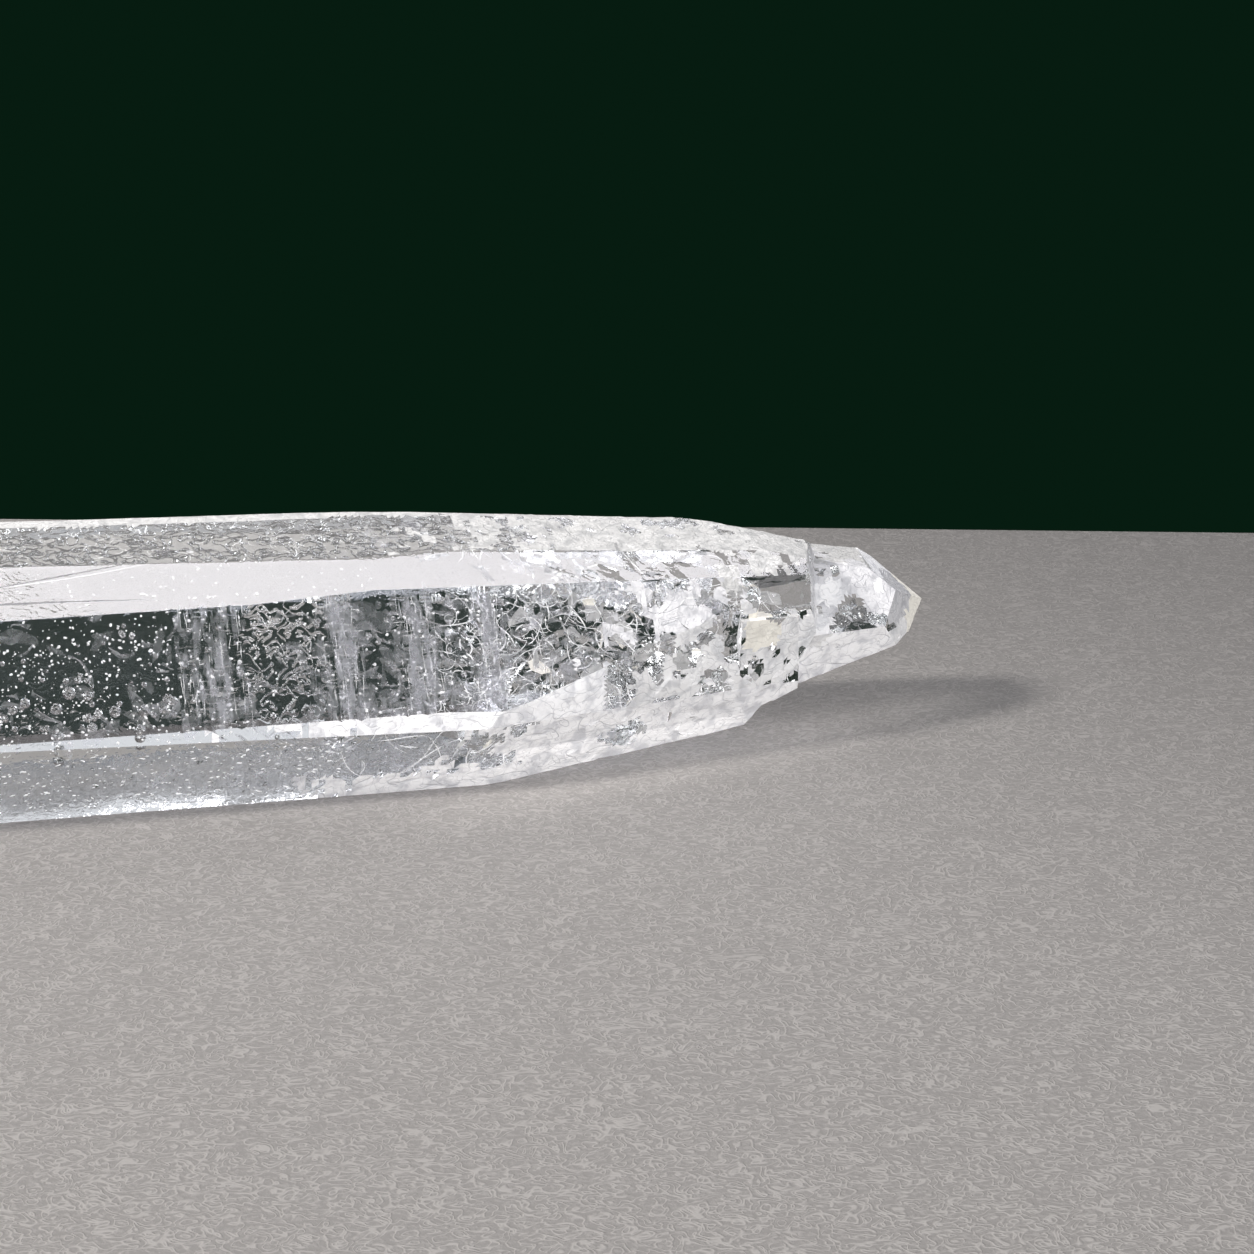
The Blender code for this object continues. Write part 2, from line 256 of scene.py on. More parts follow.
def veil_material():
    """Thin clouds of gas inside the crystal, which scatter a little light and let the rest through."""
    material, shader, graph = new_material("gas_veil")
    shader.inputs["Base Color"].default_value = VEIL_COLOR
    shader.inputs["Transmission Weight"].default_value = VEIL_TRANSMISSION
    shader.inputs["IOR"].default_value = VEIL_IOR
    grain = graph.noise(graph.place(0.8), detail=2.0)
    graph.link(graph.step(grain, 0.3, 0.7, 0.15, 0.35), shader.inputs["Roughness"])
    return material


def board_material():
    """A pale grey board with a fine leathery grain, and painted shade that makes it a little darker at its
    far right end.
    """
    material, shader, graph = new_material("pale_board")
    winding = graph.noise(graph.place(BOARD_WRINKLE), detail=0.0, distortion=2.2)
    pebbles = graph.noise(graph.place(BOARD_PEBBLE), detail=2.0)
    wrinkles = graph.lines(winding, 0.12, 0.0)
    grain = graph.math("MULTIPLY", wrinkles, graph.step(pebbles, 0.3, 0.6, 0.55, 1.0))
    color = graph.mix(grain, BOARD_LIGHT, BOARD_DARK)
    # Painted shade: the colour darkens towards the far right end, in place of light that falls off there.
    x, y, _ = graph.parts(graph.place(1.0 / MM))
    far_right = graph.math("ADD", x, graph.math("MULTIPLY", y, 0.6))
    far_shade = graph.step(far_right, 0.0, 0.2, 1.0, BOARD_FAR_END_SHADE)
    graph.link(graph.mix(1.0, color, far_shade, blend_type="MULTIPLY"), shader.inputs["Base Color"])
    shader.inputs["Roughness"].default_value = BOARD_ROUGHNESS
    graph.link(graph.bump(grain, 0.35, -0.25), shader.inputs["Normal"])
    return material


# ---------------------------------------------------------------- crystal

CELLS = ((-30.0, 1.2), (20.0, 0.72), (80.0, 0.48))  # up to each x, the size of the fine mesh's triangles
SAME_POINT = 0.002
SLICE_SNAP = 0.003
FLAT_ANGLE = 0.2  # faces that meet at less than this many degrees are one flat face
END_FACING = 0.5  # a face whose normal's X is larger than this looks along the crystal
ROUNDING = 0.35  # added to an edge's number of cells before it is rounded down


def cell_at(x):
    """The size of the cells at x, which is in metres here."""
    return next((size for last, size in CELLS if x <= last * MM), CELLS[-1][1])


def slice_mesh(bm, faces, place, normal):
    """Cut the faces along a plane."""
    around = list({edge for face in faces for edge in face.edges})
    corners = list({vert for face in faces for vert in face.verts})
    bmesh.ops.bisect_plane(
        bm, geom=corners + around + faces, dist=SLICE_SNAP * MM, plane_co=place, plane_no=normal
    )


def fine_mesh():
    """The crystal's own flat faces, cut into small cells so that relief can be put on them."""
    bm = bmesh.new()
    bm.from_mesh(NODE.data)
    bmesh.ops.remove_doubles(bm, verts=bm.verts, dist=SAME_POINT * MM)
    flat = math.radians(FLAT_ANGLE)
    bmesh.ops.dissolve_limit(bm, angle_limit=flat, verts=bm.verts, edges=bm.edges)
    x = cad_low.x
    while x < cad_high.x:
        x += cell_at(x) * MM
        slice_mesh(bm, bm.faces[:], (x, 0, 0), (1, 0, 0))
    z = 0.0
    while z < cad_high.z:
        z += CELLS[1][1] * MM
        ends = [face for face in bm.faces if abs(face.normal.x) > END_FACING]
        slice_mesh(bm, ends, (0, 0, z), (0, 0, 1))
    by_count = {}
    for edge in bm.edges:
        middle = (edge.verts[0].co.x + edge.verts[1].co.x) / 2
        count = int(edge.calc_length() / (cell_at(middle) * MM) + ROUNDING)
        if count > 1:
            by_count.setdefault(count, []).append(edge)
    for count in sorted(by_count, reverse=True):
        bmesh.ops.subdivide_edges(bm, edges=by_count[count], cuts=count - 1, use_grid_fill=True)
    bmesh.ops.triangulate(bm, faces=bm.faces)
    bm.normal_update()
    return bm


# The bands of the front face that growth steps run through: first x, last x
WEAVE_BANDS = ((-11.5, -4.0), (4.0, 8.0), (12.0, 16.5), (20.0, 23.5))
WORM_PATCH = (-4.0, 4.0)  # the stretch of the front face that is full of winding marks

# The rolls at which one kind of face ends and the next starts, in degrees
LOWER_FRONT_FROM = -45
SEAM_FROM = -15
UPPER_FRONT_FROM = 15
SHOULDER_FROM = 45
TOP_FROM = 68
TOP_TO = 100

ZONES = ("ripple", "weave", "chip", "frost")

# The looks, in the order of the piece's materials
CLEAR, MILKY, PALE, CREAM, DIMMED_PALE, FLECK, LINE, VEIL, SOFT = range(9)


def roll_of(normal):
    """The side that a face looks to, in degrees. 0 is the front and 90 up."""
    return math.degrees(math.atan2(normal.z, -normal.y))


def within(first, last, x, edge=1.0):
    """1 from first to last and 0 outside, with soft ends."""
    return smooth(first - edge, first + edge, x) * smooth(last + edge, last - edge, x)


def zone(ripple, weave, chip, frost):
    """A face's values, in the order of ZONES."""
    return ripple, weave, chip, frost


def zone_values(normal, x):
    """How rippled, woven, chipped and frosted a face is at x."""
    roll = roll_of(normal)
    taper = smooth(TAPER_FROM, 36.0, x)
    if LOWER_FRONT_FROM < roll < SEAM_FROM:
        ripple = 0.05 + 0.05 * smooth(-8, 10, x)
        return zone(ripple, weave=0.1, chip=0.4 * taper, frost=0.03 + 0.14 * smooth(-5, 25, x))
    if SEAM_FROM <= roll < UPPER_FRONT_FROM:
        return zone(0.04, weave=0.0, chip=0.4 * taper, frost=0.05)
    if UPPER_FRONT_FROM <= roll < SHOULDER_FROM:
        band = max(within(first, last, x) for first, last in WEAVE_BANDS)
        ripple = 0.03 + 0.40 * within(*WORM_PATCH, x)
        frost = 0.02 + 0.12 * band + 0.05 * taper
        return zone(ripple, weave=0.5 * band, chip=0.4 * taper, frost=frost)
    if SHOULDER_FROM <= roll < TOP_FROM:
        return zone(0.03, weave=0.0, chip=0.15 * smooth(44.0, 56.0, x), frost=0.05)
    if TOP_FROM <= roll < TOP_TO:
        ripple = 1.5 - 1.2 * smooth(10, 34, x)
        return zone(ripple, weave=0.0, chip=0.12 * taper, frost=0.02 + 0.2 * smooth(5, 30, x))
    return zone(0.04, weave=0.05, chip=0.2 * taper, frost=0.03)


SHARP_ANGLE = 16.0  # faces that meet at more than this many degrees have a sharp edge


class Shapes:
    """Triangles of several closed shapes, with their materials and the zone values of their corners."""

    def __init__(self):
        self.points, self.faces, self.zones, self.looks, self.count = [], [], [], [], 0

    def add(self, points, faces, look, zones=None):
        self.points.append(np.asarray(points, dtype=np.float64))
        self.faces.append(np.asarray(faces, dtype=np.int64) + self.count)
        self.zones.append(np.zeros((len(faces), 3, len(ZONES))) if zones is None else zones)
        self.looks.append(np.broadcast_to(look, len(faces)))
        self.count += len(points)

    def mesh(self, name):
        """All the shapes as one mesh."""
        mesh = bpy.data.meshes.new(name)
        faces = np.concatenate(self.faces)
        mesh.from_pydata(np.concatenate(self.points).tolist(), [], faces.tolist())
        mesh.polygons.foreach_set("material_index", np.concatenate(self.looks).astype(np.int32))
        zones = np.concatenate(self.zones).reshape(-1, len(ZONES))
        for number, zone_name in enumerate(ZONES):
            layer = mesh.attributes.new(zone_name, "FLOAT", "CORNER")
            layer.data.foreach_set("value", zones[:, number].astype(np.float32))
        mesh.shade_smooth()
        mesh.set_sharp_from_angle(angle=math.radians(SHARP_ANGLE))
        return mesh


CHIP_SIZE = 3.4  # mean width of a fracture facet on the taper
CHIP_TILT = 0.26  # height that a facet gains over its own width
CHIP_FULL = 40.0  # x from which the facets have their full height
CHIP_END = (75.0, 70.0)  # x at which they have faded out, and at which they start to
CHIP_SEED = Vector((3.1, 5.7, 9.9))
BROAD_WAVE = (0.05, 9.0)  # height and length of the low waves of every face
FINE_WAVE = (0.015, 3.0)


def cell_of(point, size):
    """The middle of the voronoi cell that holds the point, in units of size."""
    return noise.voronoi(point / size)[1][0]


def relief(point):
    """Height of the surface over the flat face, in millimetres."""
    taper = smooth(TAPER_FROM, CHIP_FULL, point.x) * smooth(*CHIP_END, point.x)
    wave = sum(height * noise.noise(point / length) for height, length in (BROAD_WAVE, FINE_WAVE))
    if taper == 0.0:
        return wave
    cell = cell_of(point, CHIP_SIZE)
    tilt = noise.noise_vector(cell * 7.3 + CHIP_SEED)
    return wave + CHIP_TILT * taper * (point / CHIP_SIZE - cell).dot(tilt)


# Patches of the surface with a look of their own: x, y, z of the middle, half-widths, look
PATCHES = (
    ((55.2, -8.3, 17.7), (4.4, 9.0, 2.4), CLEAR),
    ((59.3, -8.0, 12.9), (2.6, 9.0, 2.2), SOFT),
    ((52.4, -10.3, 13.9), (2.3, 9.0, 2.2), CREAM),
    ((54.0, -7.6, 20.4), (1.9, 4.0, 1.5), DIMMED_PALE),
    ((52.3, -10.0, 17.8), (1.5, 4.0, 1.0), MILKY),
    ((49.3, -10.5, 19.2), (1.1, 4.0, 0.9), DIMMED_PALE),
    ((47.0, -12.0, 12.0), (1.4, 4.0, 1.8), SOFT),
    ((66.0, -3.5, 17.3), (2.4, 9.0, 1.5), MILKY),
    ((62.5, -4.5, 16.0), (2.2, 9.0, 1.2), SOFT),
    ((63.0, -4.0, 19.6), (2.4, 9.0, 1.0), MILKY),
    ((70.5, -3.0, 14.6), (2.6, 9.0, 2.6), MILKY),
    ((71.0, -2.8, 10.6), (1.6, 9.0, 1.5), SOFT),
    ((73.0, -0.6, 12.6), (3.4, 9.0, 4.2), CREAM),
    # Pale here is painted light: this facet looks away from the lamps, so it gets the brightest quartz.
    ((70.8, 2.0, 16.4), (3.4, 9.0, 2.6), PALE),
    ((62.0, -5.6, 10.2), (2.9, 4.0, 0.8), PALE),
    ((60.0, -6.0, 5.5), (8.5, 9.0, 2.4), PALE),
)
PATCHED_ROLLS = (-50, 105)  # faces outside these rolls stay clear
MILKY_FROM = 22  # above this roll the front is the darker milky quartz and below it the lighter soft quartz: painted light for the lower faces, which get less light
SPLINTER = 0.8  # mean width of the splinters that a patch's rim runs along
FRACTURE_SIZE = 2.1  # mean width of the patches that are pale or clear
CHANCE_SEED = Vector((7.7, 1.3, 4.9))

# How much of each side is pale in the end, and the x at which it starts to be and is so in full
FRONT_SHARE, FRONT_X = 0.55, (24.0, 46.0)
SHOULDER_SHARE, SHOULDER_X = 0.5, (44.0, 54.0)  # of the front's share
TOP_SHARE, TOP_X = 0.8, (8.0, 36.0)
LOW_SHARE, LOW_X = 0.9, (2.0, 40.0)
LOW_STRETCH = 2.6  # how much longer than high the lower front's patches are
FOOT_BAND = 2.4  # height of the pale band along the foot of the lower front
FOOT_BAND_X = (-4.0, 10.0)  # where that band starts, and is whole
RIM_DEPTH = 0.45  # how far under its far ridge the top face has the dimmed pale quartz
RIM_END = 46  # x at which that dimmed rim ends
RAGGED = 2.5  # length of the waves in the edges of the rim and of the foot band
SEAM_END = 34  # up to here the seam is a narrow pale band
SEAM_PALE_X = (-14.0, 14.0)  # where its pale splinters start, and fill it


CHANCE_SPREAD = 0.6  # the range of the noise that chances are taken from


def chance_at(cell):
    """A number from 0 to 1 that stays the same all over one voronoi cell."""
    return max(0.0, 0.5 + 0.5 * noise.noise(cell * 5.1 + CHANCE_SEED) / CHANCE_SPREAD)


def patch_at(splinter):
    """The look of the first patch that holds the splinter, or None."""
    for place, half, look in PATCHES:
        away = splinter - Vector(place)
        if sum((away[axis] / half[axis]) ** 2 for axis in range(3)) < 1:
            return look
    return None


def in_rim(middle, ridge_heights):
    """Whether a place of the top face is close under the face's far ridge."""
    wave = 1.0 + 0.35 * noise.noise(middle / RAGGED) - 0.45 * smooth(-10, 20, middle.x)
    ridge = max(ridge_heights.get(int(middle.x // 1) + step, 0.0) for step in (-1, 0, 1))
    return middle.x < RIM_END and middle.z > ridge - RIM_DEPTH * wave


def look_of(face, ridge_heights):
    """The material of one small face of the surface."""
    middle = face.calc_center_median() / MM
    roll = roll_of(face.normal)
    if not PATCHED_ROLLS[0] < roll < PATCHED_ROLLS[1]:
        return CLEAR
    splinter_cell = cell_of(middle, SPLINTER)
    splinter = splinter_cell * SPLINTER
    patch = patch_at(splinter)
    if patch is not None:
        return patch
    chance = chance_at(cell_of(splinter, FRACTURE_SIZE))
    # The top takes the dimmed pale quartz: painted shade for the strong light that falls on it.
    if TOP_FROM <= roll:
        dimmed = chance < TOP_SHARE * smooth(*TOP_X, middle.x)
        return DIMMED_PALE if dimmed or in_rim(middle, ridge_heights) else CLEAR
    if SEAM_FROM <= roll < UPPER_FRONT_FROM and middle.x < SEAM_END:
        return PALE if chance_at(splinter_cell) < smooth(*SEAM_PALE_X, middle.x) else CLEAR
    if roll < SEAM_FROM:
        foot = FOOT_BAND * (1.0 + 0.5 * noise.noise(middle / RAGGED))
        if middle.z < foot and chance_at(splinter_cell) < smooth(*FOOT_BAND_X, middle.x):
            return PALE
        stretched = Vector((splinter.x / LOW_STRETCH, splinter.y, splinter.z))
        chance = chance_at(cell_of(stretched, FRACTURE_SIZE))
        return PALE if chance < LOW_SHARE * smooth(*LOW_X, middle.x) else CLEAR
    share = FRONT_SHARE * smooth(*FRONT_X, middle.x)
    # The shoulder takes the dimmed pale quartz too: painted shade for the light that falls on it.
    if SHOULDER_FROM <= roll:
        share *= SHOULDER_SHARE * smooth(*SHOULDER_X, middle.x)
        return DIMMED_PALE if chance < share else CLEAR
    if chance >= share:
        return CLEAR
    # Milky on the faces that look more up, soft on the lower ones: painted light that evens out how much
    # light they get.
    return MILKY if roll > MILKY_FROM else SOFT


FLOOR_MARGIN = 0.02  # corners above this height stay above it


def body_shape(bm):
    """The fine surface, with its relief and materials."""
    ridge_heights = {}
    for vert in bm.verts:
        step = int(vert.co.x / MM // 1)
        ridge_heights[step] = max(ridge_heights.get(step, 0.0), vert.co.z / MM)
    zones, looks = [], []
    for face in bm.faces:
        zones.append([zone_values(face.normal, loop.vert.co.x / MM) for loop in face.loops])
        looks.append(look_of(face, ridge_heights))
    floor = FLOOR_MARGIN * MM
    points = []
    for vert in bm.verts:
        moved = vert.co + vert.normal * relief(vert.co / MM) * MM
        moved.z = max(moved.z, floor) if vert.co.z > floor else vert.co.z
        points.append(moved[:])
    bm.verts.index_update()
    faces = [[vert.index for vert in face.verts] for face in bm.faces]
    return points, faces, np.array(looks), np.array(zones)


def ball_template(subdivisions):
    """Corners and faces of a round ball with a radius of 1."""
    bm = bmesh.new()
    bmesh.ops.create_icosphere(bm, subdivisions=subdivisions, radius=1.0)
    points = np.array([vert.co[:] for vert in bm.verts])
    faces = np.array([[vert.index for vert in face.verts] for face in bm.faces])
    bm.free()
    return points, faces


def octahedron_template():
    """The same for an octahedron."""
    points = np.array([(1, 0, 0), (0, 1, 0), (-1, 0, 0), (0, -1, 0), (0, 0, 1), (0, 0, -1)], dtype=float)
    above, below = 4, 5
    faces = []
    for corner in range(4):
        after = (corner + 1) % 4
        faces += [(corner, after, above), (after, corner, below)]
    return points, np.array(faces)


MIDDLE_Z = 13.0  # height of the crystal's middle line
OUTSIDE = 60.0  # a distance from that line that is outside the crystal
SAME_SIDE = 25  # how far a face may look away from its side's roll, in degrees


def turn_to(normal):
    """The turn that lays a flake's X along the crystal and its Z out of the face."""
    along = Vector((1, 0, 0))
    return Matrix((along, normal.cross(along).normalized(), normal)).transposed()


class Inside:
    """Places under the faces of the crystal."""

    def __init__(self, mesh):
        corners = [vert.co for vert in mesh.vertices]
        self.tree = BVHTree.FromPolygons(corners, [face.vertices[:] for face in mesh.polygons])

    def depth(self, point):
        """How far the point is under the surface, in metres and negative outside."""
        place, normal, _, distance = self.tree.find_nearest(point)
        return distance if (place - point).dot(normal) > 0 else -distance

    def holds(self, points, margin=0.25):
        """Whether all the points are deeper than the margin."""
        return all(self.depth(Vector(point)) > margin * MM for point in points)

    def under(self, x, roll, side, depth):
        """The point depth under the face that looks to roll, and the turn that lays a flake along it.

        side is how far across the face it is.
        """
        angle = math.radians(roll)
        out = Vector((0.0, -math.cos(angle), math.sin(angle)))
        across = Vector((0.0, math.sin(angle), math.cos(angle)))
        start = Vector((x, 0.0, MIDDLE_Z)) * MM + across * side * MM + out * OUTSIDE * MM
        place, normal, _, _ = self.tree.ray_cast(start, -out)
        if place is None or normal.angle(out) > math.radians(SAME_SIDE):
            return None, None
        return place - normal * depth * MM, turn_to(normal)


def random_turn(dice):
    """A turn by any angle about any axis."""
    axis = Vector((dice.gauss(0, 1), dice.gauss(0, 1), dice.gauss(0, 1))).normalized()
    return Matrix.Rotation(dice.uniform(0, 2 * math.pi), 3, axis)


# Sides of the crystal that inclusions lie under: roll, and the face's lowest and highest place across it
SIDES = {
    "upper_front": (30, -13.2, 0.8),
    "lower_front": (-30, -3.0, 4.6),
    "seam": (0, -5.6, -4.6),
    "shoulder": (60, -5.8, -0.4),
    "top": (80, -2.6, 4.6),
}

# Bright flecks: side, first x, last x, count, half-thickness, stretch along X, least and mean extra depth
FLECKS = (
    ("upper_front", -45.0, -8.0, 980, (0.045, 0.16), 1.0, 0.25, 1.8),
    ("upper_front", -8.0, 24.0, 420, (0.05, 0.17), 1.0, 0.25, 1.4),
    ("lower_front", -45.0, 6.0, 480, (0.05, 0.12), 2.6, 0.2, 0.6),
    ("shoulder", -42.0, 10.0, 220, (0.04, 0.12), 1.6, 0.2, 0.6),
    ("upper_front", 20.0, 50.0, 120, (0.06, 0.16), 1.3, 0.3, 1.4),
)
SMALL_FLECK = 0.1  # below this half-thickness a fleck is an octahedron
LONG_STRETCH = 2  # above this stretch flecks lie along the crystal


def add_flecks(shapes, inside, dice):
    """Small bright balls and octahedra, most of them near the small end of their sizes."""
    templates = [octahedron_template(), ball_template(1)]
    for name, first, last, count, thick, stretch, least, more in FLECKS:
        roll, low, high = SIDES[name]
        made = 0
        while made < count:
            x = dice.uniform(first, last)
            side = dice.uniform(low, high)
            spot, turn = inside.under(x, roll, side, least + dice.expovariate(1 / more))
            if spot is None or inside.depth(spot) < 0.9 * least * MM:
                continue
            size = (thick[0] + (thick[1] - thick[0]) * dice.random() ** 1.6) * MM
            long = size * dice.uniform(1.0, 1.0 + 1.2 * (stretch - 1) + 0.6)
            spread = 0.35 if stretch > LONG_STRETCH else 1.2
            lean = Matrix.Rotation(dice.gauss(0, spread), 3, "Z")
            form = turn @ lean @ Matrix.Diagonal((long, size, size))
            points, faces = templates[size > SMALL_FLECK * MM]
            shapes.add([(form @ Vector(point) + spot)[:] for point in points], faces, FLECK)
            made += 1


# Hollow gas bubbles: side, first x, last x, lowest and highest place across the face, count, radius
BUBBLES = (
    ("upper_front", -42.0, -6.0, -11.6, -7.5, 42, (0.30, 0.72)),
    ("upper_front", -42.0, 22.0, -12.0, 0.4, 210, (0.14, 0.36)),
    ("lower_front", -42.0, 10.0, -3.0, 3.6, 60, (0.12, 0.28)),
)
SMALL_BUBBLE = 0.26  # up to this radius a bubble has few faces
BUBBLE_MARGIN = 0.3  # least depth of a bubble's top
BUBBLE_DEPTH = 1.5  # mean further depth


def add_bubbles(shapes, inside, dice):
    """They are hollows, so their faces look inwards."""
    templates = [ball_template(1), ball_template(2)]
    for name, first, last, low, high, count, radii in BUBBLES:
        roll = SIDES[name][0]
        made = 0
        while made < count:
            radius = dice.uniform(*radii)
            x = dice.uniform(first, last)
            side = dice.uniform(low, high)
            depth = radius + BUBBLE_MARGIN + dice.expovariate(1 / BUBBLE_DEPTH)
            spot, _ = inside.under(x, roll, side, depth)
            if spot is None or inside.depth(spot) < (radius + 0.25) * MM:
                continue
            points, faces = templates[radius > SMALL_BUBBLE]
            shapes.add(points * radius * MM + np.array(spot), faces[:, ::-1], CLEAR)
            made += 1


def flake(spot, turn, width, height, thick, bend, dice, rings=3, sides=10):
    """Points and outward faces of a thin curved plate: two sheets that meet at a ragged rim."""
    rim = [dice.uniform(0.6, 1.15) for _ in range(sides)]
    flat = [(0.0, 0.0)]
    for ring in range(1, rings + 1):
        for side in range(sides):
            angle = 2 * math.pi * side / sides
            reach = ring / rings * rim[side]
            flat.append((reach * math.cos(angle), reach * math.sin(angle)))
    twist = dice.uniform(-1.0, 1.0)

    def sheet(side_sign):
        made = []
        for u, v in flat:
            gap = thick / 2 * side_sign * max(0.0, 1 - 0.8 * (u * u + v * v))
            saddle = u * u - 0.4 * v * v + 0.5 * twist * u * v
            lift = bend * (saddle + 0.25 * math.sin(3 * u + 2 * v * twist))
            made.append((turn @ Vector((u * width, v * height, lift + gap)) + spot)[:])
        return made

    top, bottom = sheet(1.0), sheet(-1.0)
    last = 1 + (rings - 1) * sides

    def low(index):
        return index if index >= last else index + len(flat)
    faces = []
    for side in range(sides):
        after = (side + 1) % sides
        faces += [(0, 1 + side, 1 + after), (low(0), low(1 + after), low(1 + side))]
        for ring in range(rings - 1):
            inner, outer = 1 + ring * sides, 1 + (ring + 1) * sides
            a, b, c, d = inner + side, outer + side, outer + after, inner + after
            faces += [(a, b, c), (a, c, d), (low(a), low(c), low(b)), (low(a), low(d), low(c))]
    return top + bottom[:last], faces


# Veils: side, first x, last x, x from which they are as crowded as asked, count, mean depth, look
VEILS = (
    ("upper_front", 18.0, 56.0, 36.0, 50, 1.8, DIMMED_PALE),
    ("lower_front", 12.0, 54.0, 32.0, 50, 1.5, DIMMED_PALE),
    ("seam", 30.0, 56.0, 40.0, 15, 1.5, DIMMED_PALE),
    ("upper_front", -44.0, 14.0, -43.0, 170, 1.6, VEIL),
    ("upper_front", 5.0, 18.0, 6.0, 90, 0.8, VEIL),
    ("upper_front", 10.0, 48.0, 22.0, 230, 1.0, VEIL),
    ("lower_front", -20.0, 45.0, 10.0, 210, 1.0, VEIL),
    ("top", -2.0, 50.0, 16.0, 90, 0.8, VEIL),
)
VEIL_LEAST_DEPTH = 0.5
VEIL_THICK = 0.08
TIP_VEILS = 50
TIP_LOW, TIP_HIGH = (52.0, -10.0, 3.0), (71.0, 6.0, 21.0)  # the box that they are in
CREAM_SHARE = 0.15
SMEARS = 120  # thin upright veils in each band of growth steps
SMEAR_THICK = 0.06
SMEAR_BEND = 0.05
TRIES = 4  # turns and sizes tried for a veil until it fits inside
NEAR_MARGIN = 0.15  # least depth of the corners of shapes that lie close under the surface


def veil_places(inside, dice):
    """Places and looks of the veils on the sides and in the tip."""
    places = []
    for name, first, last, full, count, more, look in VEILS:
        roll, low, high = SIDES[name]
        wanted = len(places) + count
        while len(places) < wanted:
            x = dice.uniform(first, last)
            side = dice.uniform(low, high)
            spot, _ = inside.under(x, roll, side, VEIL_LEAST_DEPTH + dice.expovariate(1 / more))
            if spot is not None and dice.random() < smooth(first, full, x):
                places.append((spot, look))
    for _ in range(TIP_VEILS):
        spot = Vector([dice.uniform(low, high) for low, high in zip(TIP_LOW, TIP_HIGH)]) * MM
        places.append((spot, DIMMED_PALE))
    return places


def add_veils(shapes, inside, dice):
    """Fractures and clouds of gas, crowded where the taper starts."""
    for spot, look in veil_places(inside, dice):
        cream = look == DIMMED_PALE and dice.random() < CREAM_SHARE
        for _ in range(TRIES):
            width = dice.uniform(0.5, 2.2) * MM
            height = width * dice.uniform(0.3, 1.0)
            bend = dice.uniform(-0.6, 0.6) * width
            turn = random_turn(dice)
            points, faces = flake(spot, turn, width, height, VEIL_THICK * MM, bend, dice, rings=2, sides=7)
            if inside.holds(points):
                shapes.add(points, faces, CREAM if cream else look)
                break


def add_smears(shapes, inside, dice):
    """Thin upright veils in the bands of growth steps."""
    roll, low, high = SIDES["upper_front"]
    for first, last in WEAVE_BANDS:
        for _ in range(SMEARS):
            x = dice.gauss((first + last) / 2, (last - first) / 4)
            spot, turn = inside.under(x, roll, dice.uniform(low, high), 0.3 + dice.expovariate(1 / 0.5))
            if spot is None:
                continue
            width, height = dice.uniform(0.12, 0.55) * MM, dice.uniform(0.5, 2.2) * MM
            thick, bend = SMEAR_THICK * MM, SMEAR_BEND * MM
            points, faces = flake(spot, turn, width, height, thick, bend, dice, rings=1, sides=7)
            if inside.holds(points, NEAR_MARGIN):
                shapes.add(points, faces, VEIL)


CRACKS = 150
CRACK_THICK = 0.06
CRACKS_LOW, CRACKS_HIGH = (14.0, -19.0, 1.0), (68.0, 17.0, 26.0)  # the box that they are in
CRACKS_FULL = 26.0  # x from which they are as crowded as asked


def add_cracks(shapes, inside, dice):
    """Clear curved cracks that mirror what is around them. They are hollows, so they face inwards."""
    made = 0
    while made < CRACKS:
        spot = Vector([dice.uniform(low, high) for low, high in zip(CRACKS_LOW, CRACKS_HIGH)])
        crowded = smooth(CRACKS_LOW[0], CRACKS_FULL, spot.x)
        spot *= MM
        if dice.random() > crowded or inside.depth(spot) < 0.3 * MM:
            continue
        width = dice.uniform(0.8, 2.6) * MM
        bend = dice.uniform(-0.5, 0.5) * width
        turn = random_turn(dice)
        height = width * dice.uniform(0.4, 1.0)
        points, faces = flake(spot, turn, width, height, CRACK_THICK * MM, bend, dice)
        if inside.holds(points):
            shapes.add(points, [face[::-1] for face in faces], CLEAR)
            made += 1


def sliver(path, face_normal, thick):
    """A thin three-sided sliver along a path, pointed at both ends."""
    steps = len(path) - 1
    points, faces = [path[0][:]], []
    for step in range(1, steps):
        along = (path[step + 1] - path[step - 1]).normalized()
        side = along.cross(face_normal).normalized()
        up = side.cross(along)
        size = thick * math.sin(math.pi * step / steps) ** 0.6
        for corner in range(3):
            angle = 2 * math.pi * corner / 3
            points.append((path[step] + side * size * math.cos(angle) + up * size * math.sin(angle))[:])
    points.append(path[-1][:])
    end = len(points) - 1
    for corner in range(3):
        after = (corner + 1) % 3
        faces.append((0, 1 + after, 1 + corner))
        for step in range(steps - 2):
            here, there = 1 + 3 * step, 4 + 3 * step
            faces.append((here + corner, here + after, there + after))
            faces.append((here + corner, there + after, there + corner))
        faces.append((end, end - 3 + corner, end - 3 + after))
    return points, faces


def thread(start, turn, radius, sweep, thick, dice, steps=7):
    """A sliver along an arc that waves a little."""
    wave = dice.uniform(-0.35, 0.35)
    path = []
    for step in range(steps + 1):
        angle = sweep * (step / steps - 0.5)
        place = Vector((
            radius * math.sin(angle),
            radius * (math.cos(angle) - 1),
            radius * wave * math.sin(2 * angle),
        ))
        path.append(turn @ place + start)
    return sliver(path, turn @ Vector((0, 0, 1)), thick)


